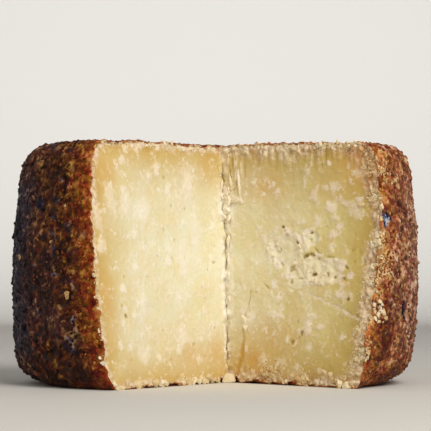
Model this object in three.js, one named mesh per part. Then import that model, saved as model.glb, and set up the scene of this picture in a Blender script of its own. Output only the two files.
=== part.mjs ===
// A cut wheel of hard sheep's milk cheese, as one solid: a low barrel with rounded rims, from which a
// wedge of nearly a quarter has been cut away. Millimetres, +Z up. The wheel stands on its flat base
// at z = 0, the notch opens towards -Y, and the origin is under the middle of the solid's box.
import * as THREE from "three";
import { ParametricGeometry } from "three/addons/geometries/ParametricGeometry.js";
import { ImprovedNoise } from "three/addons/math/ImprovedNoise.js";
import { mergeGeometries, mergeVertices } from "three/addons/utils/BufferGeometryUtils.js";

const { lerp, smoothstep, degToRad } = THREE.MathUtils;

// Profile of the wheel, as radius and height, from the flat base up to the flat top
const HEIGHT = 120;
const BASE_RADIUS = 92;
const FOOT_CORNER_RADIUS = 99.5;
const FOOT = { radius: 100.6, height: 14 };
const BELLY_PULL = { radius: 107, height: 57 };
const SHOULDER = { radius: 99.4, height: 106 };
const SHOULDER_CORNER_RADIUS = 97.8;
const TOP_RADIUS = 86.5;
const TOP_CROWN = 1.2;

// How the wheel has settled: its top leans to +X, and its foot is rounder at the back and on the left.
const LEAN = 1.2;
const UNDERCUT = { all: 6, towardsLeft: 3, from: 0.15, to: 1 };

// The two cuts, which meet in a leaning line. Angles run from -Y towards +X about the wheel's axis.
const MEETING_TOP = { x: 3.4, y: -2 };
const MEETING_FOOT = { x: 6.8, y: -2 };
const LEFT_CUT_TOP = degToRad(360 - 37.8);
const LEFT_CUT_FOOT = degToRad(360 - 29.9);
const RIGHT_CUT_TOP = degToRad(51.4);
const RIGHT_CUT_FOOT = degToRad(44.4);
const RIGHT_CUT_BEND = { from: 35, to: 80 };

// Relief: how deep it is, and how wide its bumps are
const LUMP = { depth: 1.5, width: 17 };
const GRAIN = { depth: 1.0, width: 6 };
const KNIFE_WAVE = { depth: 0.9, width: 26 };
const CRUMB = { depth: 1.3, width: 5, alongBase: 7, alongRind: 0.24 };
const FRACTURE = { depth: 3.0, width: 7, sink: 0.25 };
const FRACTURE_OVAL = { across: 0.54, height: 66, halfAcross: 0.32, halfHeight: 20, fullWithin: 0.55 };
const MEETING_WOBBLE = { depth: 1.2, width: 10 };
const EDGE_BLEND = 0.08;
const FOOT_BLEND = 0.25;
const EDGE_POWER = 6;

// Number of steps of each surface
const STEPS_ROUND = 88;
const STEPS_UP = 28;
const STEPS_ACROSS = 24;
const RINGS_ON_TOP = 7;
const RINGS_ON_BASE = 1;
// The caps' rings close on a point behind the meeting line, from which the whole edge is in sight.
const CAP_CENTRE = { x: 4, y: 38 };

const noise = new ImprovedNoise();
const bumps = (point, width) => noise.noise(point.x / width, point.y / width, point.z / width);

const profile = new THREE.Path()
  .moveTo(BASE_RADIUS, 0)
  .quadraticCurveTo(FOOT_CORNER_RADIUS, 0, FOOT.radius, FOOT.height)
  .quadraticCurveTo(BELLY_PULL.radius, BELLY_PULL.height, SHOULDER.radius, SHOULDER.height)
  .quadraticCurveTo(SHOULDER_CORNER_RADIUS, HEIGHT, TOP_RADIUS, HEIGHT);

// How much less the base reaches out at an angle than the profile says.
function undercut(angle) {
  const awayFromNotch = smoothstep(1 - Math.cos(angle), UNDERCUT.from, UNDERCUT.to);
  return UNDERCUT.all * awayFromNotch - UNDERCUT.towardsLeft * Math.sin(angle);
}

// The rough rind: the profile turned about the axis, undercut at its foot, swollen along its normal by
// lumps and grain, and leaning.
function rind(angle, up, target) {
  const { x: full, y: height } = profile.getPoint(up);
  const tangent = profile.getTangent(up);
  const radius = full - undercut(angle) * Math.max(0, 1 - height / FOOT.height) ** 2;
  target.set(radius * Math.sin(angle), -radius * Math.cos(angle), height);
  const rough = LUMP.depth * bumps(target, LUMP.width) + GRAIN.depth * bumps(target, GRAIN.width);
  const swell = rough * Math.min(1, up / FOOT_BLEND);
  const reach = radius + swell * tangent.y;
  const lean = (LEAN * height) / HEIGHT;
  return target.set(reach * Math.sin(angle) + lean, -reach * Math.cos(angle), height - swell * tangent.x);
}

// The line in which both cuts meet: it leans, and wavers as crumbly cheese breaks ahead of the knife.
function meetingLine(up, target) {
  const height = HEIGHT * up;
  target.set(MEETING_FOOT.x, MEETING_FOOT.y, height);
  const waver = MEETING_WOBBLE.depth * bumps(target, MEETING_WOBBLE.width);
  const x = lerp(MEETING_FOOT.x, MEETING_TOP.x, up) + waver;
  const y = lerp(MEETING_FOOT.y, MEETING_TOP.y, up) + waver;
  return target.set(x, y, height);
}

// Angles of the two cuts at the rind, by height: the knife went in at a slant on both sides.
const leftCut = (height) => lerp(LEFT_CUT_FOOT, LEFT_CUT_TOP, height / HEIGHT);
const rightCut = (height) =>
  lerp(RIGHT_CUT_FOOT, RIGHT_CUT_TOP, smoothstep(height, RIGHT_CUT_BEND.from, RIGHT_CUT_BEND.to));

// Relief of both cuts: slow waves from the knife, and crumbs along the base and the rind.
function knifeRelief(point, across) {
  const waves = KNIFE_WAVE.depth * bumps(point, KNIFE_WAVE.width);
  const nearBase = 1 - smoothstep(point.z, 0, CRUMB.alongBase);
  const nearRind = smoothstep(across, 1 - CRUMB.alongRind, 1 - EDGE_BLEND);
  return waves + CRUMB.depth * Math.max(nearBase, nearRind) * bumps(point, CRUMB.width);
}

// Relief of the right cut: the same, with flakes broken out of an oval patch at its middle.
function brokenRelief(point, across) {
  const x = (across - FRACTURE_OVAL.across) / FRACTURE_OVAL.halfAcross;
  const z = (point.z - FRACTURE_OVAL.height) / FRACTURE_OVAL.halfHeight;
  const inOval = 1 - smoothstep(Math.hypot(x, z), FRACTURE_OVAL.fullWithin, 1);
  const flakes = FRACTURE.depth * inOval * (bumps(point, FRACTURE.width) - FRACTURE.sink);
  return knifeRelief(point, across) + flakes;
}

// A cut face, ruled from the meeting line out to the rind and moved by its relief towards the notch,
// which lies on the side given by `facing`: 1 where it is left of the way out, -1 where right.
function cutFace(cutAngle, relief, facing) {
  const inner = new THREE.Vector3();
  const outer = new THREE.Vector3();
  return (across, up, target) => {
    meetingLine(up, inner);
    rind(cutAngle(profile.getPoint(up).y), up, outer);
    const length = Math.hypot(outer.x - inner.x, outer.y - inner.y);
    const normalX = (facing * (inner.y - outer.y)) / length;
    const normalY = (facing * (outer.x - inner.x)) / length;
    const x = lerp(inner.x, outer.x, across);
    const y = lerp(inner.y, outer.y, across);
    const z = lerp(inner.z, outer.z, across);
    const fade = Math.min(1, across / EDGE_BLEND, (1 - across) / EDGE_BLEND);
    const depth = fade * relief(target.set(x, y, z), across);
    return target.set(x + depth * normalX, y + depth * normalY, z);
  };
}

// A cap: rays from its centre to an edge of the solid, crowned and lumpy where it is the top. The
// edge's own ups and downs die away inwards by a high power, so that no ray shows.
function cap(edge, height, crown, lump) {
  return (along, out, target) => {
    edge(along, target);
    if (out === 1) return target;
    const edgeHeight = target.z;
    const x = lerp(CAP_CENTRE.x, target.x, out);
    const y = lerp(CAP_CENTRE.y, target.y, out);
    const rise = crown * (1 - (x * x + y * y) / TOP_RADIUS ** 2);
    const rough = lump * bumps(target.set(x, y, height), LUMP.width);
    return target.setZ(lerp(height + rise + rough, edgeHeight, out ** EDGE_POWER));
  };
}

// One surface patch, with its triangles turned round where it would face inwards.
function patch(surface, steps, rows, turned) {
  const geometry = new ParametricGeometry(surface, steps, rows);
  geometry.deleteAttribute("normal");
  geometry.deleteAttribute("uv");
  if (turned) geometry.index.array.reverse();
  return geometry;
}

// The patches joined into one closed surface, without the triangles that close to a line or a point.
function closedSurface(patches) {
  const joined = mergeVertices(mergeGeometries(patches));
  const corners = joined.index.array;
  const kept = [];
  for (let i = 0; i < corners.length; i += 3) {
    const [a, b, c] = corners.slice(i, i + 3);
    if (a !== b && b !== c && c !== a) kept.push(a, b, c);
  }
  joined.setIndex(kept);
  joined.computeVertexNormals();
  return joined;
}

function cheeseGeometry() {
  const rindAround = (around, up, target) => {
    const height = profile.getPoint(up).y;
    return rind(lerp(rightCut(height), leftCut(height), around), up, target);
  };
  const leftFace = cutFace(leftCut, knifeRelief, 1);
  const rightFace = cutFace(rightCut, brokenRelief, -1);
  const sides = [
    { surface: rindAround, steps: STEPS_ROUND, turned: false },
    { surface: leftFace, steps: STEPS_ACROSS, turned: true },
    { surface: rightFace, steps: STEPS_ACROSS, turned: false },
  ];
  const patches = sides.flatMap(({ surface, steps, turned }) => {
    const topEdge = (along, target) => surface(along, 1, target);
    const baseEdge = (along, target) => surface(along, 0, target);
    return [
      patch(surface, steps, STEPS_UP, turned),
      patch(cap(topEdge, HEIGHT, TOP_CROWN, LUMP.depth), steps, RINGS_ON_TOP, !turned),
      patch(cap(baseEdge, 0, 0, 0), steps, RINGS_ON_BASE, turned),
    ];
  });
  const geometry = closedSurface(patches);
  geometry.computeBoundingBox();
  const middle = geometry.boundingBox.getCenter(new THREE.Vector3());
  return geometry.translate(-middle.x, -middle.y, 0);
}

const paste = new THREE.MeshStandardMaterial({ color: 0xe3cf93, roughness: 0.75, metalness: 0 });
const cheese = new THREE.Mesh(cheeseGeometry(), paste);
cheese.name = "cheese";

const wheel = new THREE.Group();
wheel.add(cheese);

export default wheel;
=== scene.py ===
import bmesh
import bpy
import numpy as np
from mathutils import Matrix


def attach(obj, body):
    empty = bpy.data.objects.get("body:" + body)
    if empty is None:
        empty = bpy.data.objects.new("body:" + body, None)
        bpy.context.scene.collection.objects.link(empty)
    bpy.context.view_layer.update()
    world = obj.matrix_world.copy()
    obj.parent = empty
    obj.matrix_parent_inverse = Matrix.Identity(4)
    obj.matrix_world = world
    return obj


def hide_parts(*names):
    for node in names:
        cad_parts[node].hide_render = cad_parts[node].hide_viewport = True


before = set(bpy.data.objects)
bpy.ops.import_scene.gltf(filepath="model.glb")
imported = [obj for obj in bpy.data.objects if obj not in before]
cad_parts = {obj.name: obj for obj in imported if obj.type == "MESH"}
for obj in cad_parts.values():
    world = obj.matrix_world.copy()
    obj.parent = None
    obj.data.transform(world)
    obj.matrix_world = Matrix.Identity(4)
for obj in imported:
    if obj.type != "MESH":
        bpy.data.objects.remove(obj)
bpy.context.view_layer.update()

# Rind
# The outside of the wheel, dried to a hard grainy brown crust while the cheese ripened. It has grown on
# the paste, wraps the side, the top and the base, and ends where the knife went through it.

# Lengths are millimetres from the wheel's axis at the base, and angles run from -Y towards +X.
MM = 0.001
AXIS = np.array([-0.55, -8.41, 0.0])
UPWARDS = np.array([[0.0, 0.0, 1.0]])

HEIGHT = 120.0
BASE_RADIUS = 92.0
FOOT_PULL = (99.5, 0.0)
FOOT = (100.6, 14.0)
BELLY_PULL = (107.0, 57.0)
SHOULDER = (99.4, 106.0)
SHOULDER_PULL = (97.8, HEIGHT)
BOW_STEPS = 60
TOP_RADIUS = 86.5
TOP_CROWN = 1.2
LEAN = 1.2
UNDERCUT = 6.0
UNDERCUT_TO_LEFT = 3.0
UNDERCUT_FROM = 0.15
RIGHT_LIFT = 7.0
RIGHT_LIFT_FROM = np.radians((45.5, 55.0))
RIGHT_LIFT_TO = np.radians((95.0, 140.0))

LEFT_CUT_FOOT = np.radians(-29.9)
LEFT_CUT_TOP = np.radians(-37.8)
RIGHT_CUT_FOOT = np.radians(45.2)
RIGHT_CUT_TOP = np.radians(52.3)
RIGHT_CUT_BEND = (15.0, 95.0)
# The first column of the wheel's side lies at the right cut, and the last one at the left cut.
CUT_COLUMNS = {"right": 0, "left": -1}
CUT_JAG = 0.010
TOP_CHIP = 2.0
MEETING_FOOT = np.array([7.5, -2.0])
MEETING_TOP = np.array([3.95, -2.0])
MEETING_WAVER = 1.1
CAP_CENTRE = np.array([4.0, 38.0])
EDGE_POWER = 12
BASE_GAP = 1.7
FOOT_HOLLOW = 2.0
FOOT_HOLLOW_PLACE = 0.07
FOOT_HOLLOW_WIDTH = 0.022

GRAIN_DRAW = np.array([1.0, 0.6, 1.0])
GRAIN_PITCH = 2.6
PIT_WIDTH = 4.5
PITS_ABOVE = (0.4, 0.75)
PIT_DEPTH = 0.8
SMOOTH_FOOT = 12.0
CRUST_DEPTH = 3.2
CRUST_AT_CUT = 0.9
LATTICE_SLANT = np.array([[0.36, 0.48, -0.8], [-0.8, 0.6, 0.0], [0.48, 0.64, 0.6]])


def smoothstep(value, start, end):
    """Rises from 0 at start to 1 at end along 3t^2 - 2t^3, and is flat beyond both."""
    t = np.clip((value - start) / (end - start), 0.0, 1.0)
    return t * t * (3.0 - 2.0 * t)


def lattice(points, width):
    """Points in widths, turned by a fixed slant so that no line of the lattice runs along the cheese, and
    the lattice cell that each lies in."""
    scaled = points @ LATTICE_SLANT / width
    return scaled, np.floor(scaled).astype(np.int64)


def dice(cells, seed):
    """A fixed random number from 0 to 1 for each lattice cell: its indices times large odd numbers, mixed."""
    low_bits = 0xFFFFFFFF
    number = cells[..., 0] * 73856093 ^ cells[..., 1] * 19349663 ^ cells[..., 2] * 83492791 ^ seed * 668265263
    number = (number & low_bits) * 1274126177 & low_bits
    number = (number ^ number >> 15) * 1103515245 & low_bits
    return (number ^ number >> 13) / low_bits


def three_dice(cells, seed):
    """Three such numbers for each cell."""
    return np.stack([dice(cells, seed + k) for k in range(3)], axis=-1)


def clumps(points, width, seed):
    """Smooth noise from about -1 to 1: at each corner of a lattice of this width stands a random slope,
    and the eight slopes round a point are blended along 3t^2 - 2t^3 and strengthened by 1.6."""
    scaled, cell = lattice(points, width)
    part = scaled - cell
    blend = part * part * (3.0 - 2.0 * part)
    total = np.zeros(points.shape[:-1])
    for corner in np.ndindex(2, 2, 2):
        weight = np.prod(np.where(corner, blend, 1.0 - blend), axis=-1)
        slope = three_dice(cell + corner, seed) * 2.0 - 1.0
        total += weight * np.sum(slope * (part - corner), axis=-1)
    return 1.6 * total


def layered(points, *layers):
    """Such noises added up: each layer gives a strength, a width and a seed."""
    return sum(strength * clumps(points, width, seed) for strength, width, seed in layers)


def pebbles(points, width, seed):
    """Random points, one in each cell of a lattice of this width: the distance to the nearest, in widths,
    and a random number that the nearest one owns."""
    scaled, home = lattice(points, width)
    near = np.full(points.shape[:-1], np.inf)
    owned = np.zeros_like(near)
    for step in np.ndindex(3, 3, 3):
        cell = home + step - 1
        spot = cell + three_dice(cell, seed)
        gap = np.linalg.norm(scaled - spot, axis=-1)
        owned = np.where(gap < near, dice(cell, seed + 3), owned)
        near = np.minimum(near, gap)
    return near, owned


def bow(start, pull, end):
    """A quadratic curve from start to end, which leaves both ends towards pull."""
    t = np.linspace(0.0, 1.0, BOW_STEPS)[:, None]
    return (1 - t) ** 2 * np.array(start) + 2 * t * (1 - t) * np.array(pull) + t**2 * np.array(end)


side_line = np.vstack([
    bow((BASE_RADIUS, 0.0), FOOT_PULL, FOOT),
    bow(FOOT, BELLY_PULL, SHOULDER)[1:],
    bow(SHOULDER, SHOULDER_PULL, (TOP_RADIUS, HEIGHT))[1:],
])
side_run = np.append(0.0, np.cumsum(np.linalg.norm(np.diff(side_line, axis=0), axis=1)))
side_run /= side_run[-1]
side_slope = np.gradient(side_line, axis=0)
side_slope /= np.linalg.norm(side_slope, axis=1, keepdims=True)
side_columns = (*side_line.T, side_slope[:, 1], -side_slope[:, 0])


def profile(up):
    """Radius and height at a share of the side line's length, and its normal, the line turned outwards."""
    return [np.interp(up, side_run, column) for column in side_columns]


def rind_form(angle, up):
    """The smooth outside: the side line turned about the axis, drawn in at the foot where the wheel is
    undercut, most of all right of the right cut, and leaning to +X with height. Gives points and outward
    normals."""
    radius, height, out, rise = profile(up)
    away = smoothstep(1.0 - np.cos(angle), UNDERCUT_FROM, 1.0)
    lifted = smoothstep(angle, *RIGHT_LIFT_FROM) * (1.0 - smoothstep(angle, *RIGHT_LIFT_TO))
    undercut = UNDERCUT * away - UNDERCUT_TO_LEFT * np.sin(angle) + RIGHT_LIFT * lifted
    radius = radius - undercut * np.maximum(0.0, 1.0 - height / FOOT[1]) ** 2
    lean = LEAN * height / HEIGHT
    points = np.stack([radius * np.sin(angle) + lean, -radius * np.cos(angle), height + 0.0 * angle], axis=-1)
    normals = np.stack([out * np.sin(angle), -out * np.cos(angle), rise + 0.0 * angle], axis=-1)
    return points, normals


def crust_grains(points):
    """The crust's grains, drawn out along Y: the distance to the nearest grain's middle, its own random
    tone, and how far a point lies in a pit, which is where a noise is high."""
    drawn = points * GRAIN_DRAW
    return *pebbles(drawn, GRAIN_PITCH, 11), smoothstep(clumps(drawn, PIT_WIDTH, 31), *PITS_ABOVE)


def crust_relief(points):
    """How far the crust stands out: broad lumps, a coat of rounded grains, finer unevenness on them, and
    pits. All die away at the base."""
    near, tone, pit = crust_grains(points)
    lumps = layered(points, (0.9, 21.0, 1), (0.5, 8.0, 5))
    grains = (0.2 + 0.6 * tone) * (1.0 - smoothstep(near, 0.1, 0.85))
    grains = grains + layered(points * GRAIN_DRAW, (0.35, 3.6, 15), (0.2, 1.9, 21))
    above_base = smoothstep(points[..., 2], 0.0, SMOOTH_FOOT)
    return above_base * (lumps + grains - 0.3 - PIT_DEPTH * pit)


def on_rind(angle, up, lift=0.0):
    """Places on the rough rind, or lifted off it, and the way out there: the smooth outside moved along its
    normal by the crust's relief."""
    points, outward = rind_form(angle, up)
    return points + (crust_relief(points) + lift)[..., None] * outward, outward


def cut_angles(height, jag):
    """Angles of the right and the left cut at a height: the left cut turns evenly with height, the right
    one bends once, and both are jagged by noise along the height."""
    bend = smoothstep(height, *RIGHT_CUT_BEND)
    right = RIGHT_CUT_FOOT + (RIGHT_CUT_TOP - RIGHT_CUT_FOOT) * bend
    left = LEFT_CUT_FOOT + (LEFT_CUT_TOP - LEFT_CUT_FOOT) * height / HEIGHT
    along = height[..., None] * (1.0, 0.0, 0.0)
    right = right + jag * layered(along, (2.0, 8.0, 41), (1.4, 2.4, 43))
    left = left + jag * layered(along, (1.1, 4.0, 51), (0.9, 2.0, 53))
    return right, left


def wheel_side(up_steps, around, depth=0.0, rough=1.0, tuck=0.0, jag=CUT_JAG):
    """The wheel's side from the right cut round the back to the left cut, on a grid of shares up and
    around, sunk by depth below the rind's face and rough where asked. A tuck draws the two cuts together."""
    up = np.linspace(0.0, 1.0, up_steps + 1)[:, None]
    right, left = cut_angles(profile(up)[1], jag)
    right = right + tuck / TOP_RADIUS
    left = left + 2.0 * np.pi - tuck / TOP_RADIUS
    points, normals = rind_form(right + (left - right) * around, up + 0.0 * around)
    points = points + (rough * crust_relief(points) - depth)[..., None] * normals
    points[..., 2] = np.maximum(points[..., 2], 0.0)
    return points


def top_height(ground):
    """Height of the top over the base: level, crowned towards the axis, and as rough as the side."""
    crown = TOP_CROWN * (1.0 - np.sum(ground**2, axis=-1) / TOP_RADIUS**2)
    flat = np.concatenate([ground, np.full(ground.shape[:-1] + (1,), HEIGHT)], axis=-1)
    return HEIGHT + crown + crust_relief(flat)


def level(height):
    """A function that gives one height for every place on the ground."""
    return lambda ground: np.full(ground.shape[:-1], height)


def meeting_line(up_steps, inset=0.0, tuck=0.0, waver=MEETING_WAVER):
    """The line in which both cuts meet, from base to top: straight, leaning and wavering by noise. It is
    inset from both ends, and a tuck moves it back into the cheese."""
    height = np.linspace(inset, HEIGHT - inset, up_steps + 1)[:, None]
    ground = MEETING_FOOT + (MEETING_TOP - MEETING_FOOT) * (height / HEIGHT)
    waves = layered(height * (1.0, 0.0, 0.0), (1.0, 10.0, 61), (0.7, 3.5, 71), (0.5, 1.8, 73))
    ground = ground + waver * waves[:, None] * (1.0, 0.3) + (0.0, tuck)
    return np.hstack([ground, height])


def cut_edges(side, line, steps, top_at, base_height):
    """The edges that the cuts leave on top and base, from the meeting line out to the rind: right and left,
    top and base. The top ones follow the top's own height, less chips where a noise is high. The base ones
    are broken away unevenly, so that they stand a little off the floor, most near the meeting line."""
    share = np.linspace(0.0, 1.0, steps + 1)[:, None]
    along = share[:, 0]
    hollow = FOOT_HOLLOW * np.exp(-(((along - FOOT_HOLLOW_PLACE) / FOOT_HOLLOW_WIDTH) ** 2))
    edges = {}
    for name, column in CUT_COLUMNS.items():
        top = line[-1] + (side[-1, column] - line[-1]) * share
        rough = top_at(top[:, :2])
        chipped = np.clip(layered(top * (1.0, 1.0, 0.0), (0.9, 7.0, 48), (0.7, 2.6, 49)) - 0.05, 0.0, 1.0)
        chipped *= smoothstep(along, 0.0, 0.03) * (1.0 - smoothstep(along, 0.95, 1.0))
        top[:, 2] = rough - TOP_CHIP * chipped + (side[-1, column, 2] - rough[-1]) * along**8
        base = line[0] + (side[0, column] - line[0]) * share
        uneven = 0.5 + layered(base * (1.0, 1.0, 0.0), (0.9, 9.0, 46), (0.7, 3.0, 47))
        gap = BASE_GAP * np.clip(uneven, 0.1, 1.2) * (1.0 - along**EDGE_POWER)
        base[:, 2] = base_height + gap + hollow
        base[-1] = side[0, column]
        edges[name] = {"top": top, "base": base}
    edges["left"]["top"][0] = edges["right"]["top"][0]
    return edges


def cap(loop, rings, height_at):
    """Rays from a point behind the meeting line to a closed edge, at the height that height_at gives. The
    edge's own height dies away inwards by a high power."""
    out = np.linspace(1.0, 0.0, rings + 1)[:, None]
    ground = CAP_CENTRE + (loop[None, :, :2] - CAP_CENTRE) * out[..., None]
    height = height_at(ground)
    height = height + (loop[:, 2] - height[0]) * out**EDGE_POWER
    points = np.concatenate([ground, height[..., None]], axis=-1)
    points[0] = loop
    points[-1] = points[-1, 0]
    return points


def skin(side, edges, rings, top_at, base_at):
    """The wheel's whole outside as three grids, its side, its top and its base, each with whether its cells
    are turned over."""
    loops = {}
    for end, row in (("top", -1), ("base", 0)):
        loops[end] = np.vstack([edges["right"][end][:-1], side[row], edges["left"][end][-2::-1]])
    return [
        (side, False),
        (cap(loops["top"], rings[0], top_at), False),
        (cap(loops["base"], rings[1], base_at), True),
    ]


def cut_loop(side, edges):
    """The closed edge along both cuts: up the right rim, in and out over the top, down the left rim, and
    in and out along the base."""
    return np.vstack([
        side[:, 0],
        edges["right"]["top"][-2::-1],
        edges["left"]["top"][1:],
        side[-2::-1, -1],
        edges["left"]["base"][-2::-1],
        edges["right"]["base"][1:],
    ])


def weld(grids, *layers):
    """Joins grids of points into one mesh: each cell becomes two triangles, turned over where asked,
    points in one place become one point, and triangles that close to a line are dropped. Each layer
    holds one value a point for every grid, and comes back joined the same way."""
    points = np.vstack([grid.reshape(-1, 3) for grid, turned in grids])
    corners = []
    start = 0
    for grid, turned in grids:
        rows, columns = grid.shape[:2]
        number = start + np.arange(rows * columns).reshape(rows, columns)
        a, b, c, d = number[:-1, :-1], number[:-1, 1:], number[1:, 1:], number[1:, :-1]
        cells = np.stack([a, b, c, a, c, d], axis=-1).reshape(-1, 3)
        corners.append(cells[:, ::-1] if turned else cells)
        start += rows * columns
    places = np.round(points * 1e4).astype(np.int64)
    first, number = np.unique(places, axis=0, return_index=True, return_inverse=True)[1:]
    triangles = number.reshape(-1)[np.vstack(corners)]
    a, b, c = triangles.T
    triangles = triangles[(a != b) & (b != c) & (c != a)]
    joined = [np.concatenate([part.reshape(-1) for part in layer])[first] for layer in layers]
    return points[first], triangles, joined


def mesh_piece(name, points, triangles, material, smooth, **values):
    """A mesh object from arrays, in metres in the frame, with one number a point for each value."""
    mesh = bpy.data.meshes.new(name)
    mesh.vertices.add(len(points))
    mesh.vertices.foreach_set("co", ((points + AXIS) * MM).astype(np.float32).ravel())
    mesh.loops.add(triangles.size)
    mesh.loops.foreach_set("vertex_index", triangles.astype(np.int32).ravel())
    mesh.polygons.add(len(triangles))
    mesh.polygons.foreach_set("loop_start", np.arange(0, triangles.size, 3, dtype=np.int32))
    mesh.polygons.foreach_set("use_smooth", np.full(len(triangles), smooth))
    for key, numbers in values.items():
        layer = mesh.attributes.new(key, "FLOAT", "POINT")
        layer.data.foreach_set("value", numbers.astype(np.float32))
    mesh.update(calc_edges=True)
    mesh.materials.append(material)
    piece = bpy.data.objects.new(name, mesh)
    bpy.context.scene.collection.objects.link(piece)
    return piece


def plug(tree, node, inputs):
    """Sets a node's inputs, to plain values or to other nodes' sockets, and gives the node back."""
    for key, value in inputs.items():
        if isinstance(value, bpy.types.NodeSocket):
            tree.links.new(value, node.inputs[key])
        else:
            node.inputs[key].default_value = value
    return node


def add(tree, kind, inputs=None, **settings):
    """A new shader node with its settings and its inputs."""
    node = tree.nodes.new("ShaderNode" + kind)
    for key, value in settings.items():
        setattr(node, key, value)
    return plug(tree, node, inputs or {})


def mixed(tree, share, first, second):
    """Two colours mixed by a share, which is a number or a socket."""
    return add(tree, "Mix", {0: share, 6: first, 7: second}, data_type="RGBA").outputs[2]


def reckoned(tree, operation, *values, clamp=False):
    """Two or three numbers or sockets put together by one operation, and held between 0 and 1 where asked."""
    return add(tree, "Math", dict(enumerate(values)), operation=operation, use_clamp=clamp).outputs[0]


def weighed(tree, *terms):
    """Values times their weights, added up."""
    total = 0.0
    for value, weight in terms:
        total = reckoned(tree, "MULTIPLY_ADD", value, weight, total)
    return total


def ranged(tree, value, low, high, to_low=0.0, to_high=1.0):
    """A value carried smoothly from one range to another, and held beyond its ends."""
    inputs = {"Value": value, 1: low, 2: high, 3: to_low, 4: to_high}
    return add(tree, "MapRange", inputs, interpolation_type="SMOOTHSTEP").outputs[0]


def measured(tree, name):
    """A number that the mesh carries at each point."""
    return add(tree, "Attribute", attribute_name=name).outputs["Fac"]


def soft_noise(tree, place, scale, detail, roughness=0.5):
    """A cloudy noise about 0.5, by its scale a metre and how many finer noises lie on it."""
    inputs = {"Vector": place, "Scale": scale, "Detail": detail, "Roughness": roughness}
    return add(tree, "TexNoise", inputs).outputs[0]


def cell_noise(tree, place, scale):
    """Uneven cells, by their scale a metre: the distance to a cell's middle, and its own random number."""
    node = add(tree, "TexVoronoi", {"Vector": place, "Scale": scale})
    return node.outputs["Distance"], add(tree, "SeparateColor", {0: node.outputs["Color"]}).outputs[0]


def bumped(tree, height, strength, distance):
    """The normal of a surface that a height raises, by a strength and a distance in metres."""
    return add(tree, "Bump", {"Height": height, "Strength": strength, "Distance": distance}).outputs[0]


def tint(red, green, blue):
    """A colour as seen on a screen, 0 to 255, turned into the light that it stands for."""
    share = np.array([red, green, blue]) / 255.0
    light = np.where(share <= 0.04045, share / 12.92, ((share + 0.055) / 1.055) ** 2.4)
    return (*light.tolist(), 1.0)


def ramp(tree, value, stops):
    """Colours as seen on a screen at stops along a value, blended between them."""
    node = add(tree, "ValToRGB", {0: value})
    elements = node.color_ramp.elements
    for place in list(stops)[len(elements):]:
        elements.new(place)
    for element, (place, colour) in zip(elements, stops.items()):
        element.position = place
        element.color = tint(*colour)
    return node.outputs["Color"]


def new_material(name):
    """A plain node material: itself, its tree and its Principled shader."""
    material = bpy.data.materials.new(name)
    material.use_nodes = True
    return material, material.node_tree, material.node_tree.nodes["Principled BSDF"]


def new_group(name, inputs, **outputs):
    """An empty node group that takes numbers and puts out sockets of the kinds given: itself, the sockets
    that it starts from, and its end node."""
    group = bpy.data.node_groups.new(name, "ShaderNodeTree")
    for key in inputs:
        group.interface.new_socket(key, in_out="INPUT", socket_type="NodeSocketFloat")
    for key, kind in outputs.items():
        group.interface.new_socket(key, in_out="OUTPUT", socket_type="NodeSocket" + kind)
    return group, group.nodes.new("NodeGroupInput").outputs, group.nodes.new("NodeGroupOutput")


def drawn_place(tree):
    """Places on the rind for its noises, drawn out along Y like its grains."""
    place = add(tree, "TexCoord").outputs["Object"]
    return add(tree, "VectorMath", {0: place, 1: GRAIN_DRAW}, operation="MULTIPLY").outputs[0]


def bent_place(tree, place, amount):
    """Places shifted by a noise, so that cells made from them have uneven edges."""
    shift = add(tree, "TexNoise", {"Vector": place, "Scale": 500.0, "Detail": 2.0}).outputs["Color"]
    inputs = {0: shift, 1: (amount, amount, amount), 2: place}
    return add(tree, "VectorMath", inputs, operation="MULTIPLY_ADD").outputs[0]


def speckle_group():
    """Speckle: an uneven grainy tone from 0 to 1, and separate ragged specks, of which a share is kept.
    Shared by the crust and the grains on it."""
    inputs = ("Grains per metre", "Specks per metre", "Speck share", "Speck size")
    group, start, end = new_group("speckle", inputs, Tone="Float", Specks="Float")
    place = drawn_place(group)
    grains = soft_noise(group, place, start["Grains per metre"], 5.0, 0.68)
    distance, own = cell_noise(group, place, start["Specks per metre"])
    kept = reckoned(group, "LESS_THAN", own, start["Speck share"])
    ragged = weighed(group, (distance, 1.0), (grains, 0.4))
    size = start["Speck size"]
    edge = reckoned(group, "ADD", size, 0.12)
    spot = add(group, "MapRange", {"Value": ragged, 1: edge, 2: size, 3: 0.0, 4: 1.0}).outputs[0]
    plug(group, end, {
        "Tone": ranged(group, grains, 0.3, 0.7),
        "Specks": reckoned(group, "MULTIPLY", kept, spot),
    })
    return group


speckle = speckle_group()


def speckled(tree, grains, specks, share, size):
    """The shared speckle with its own values: its tone and its specks."""
    values = dict(enumerate((grains, specks, share, size)))
    return add(tree, "Group", values, node_tree=speckle).outputs


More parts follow.
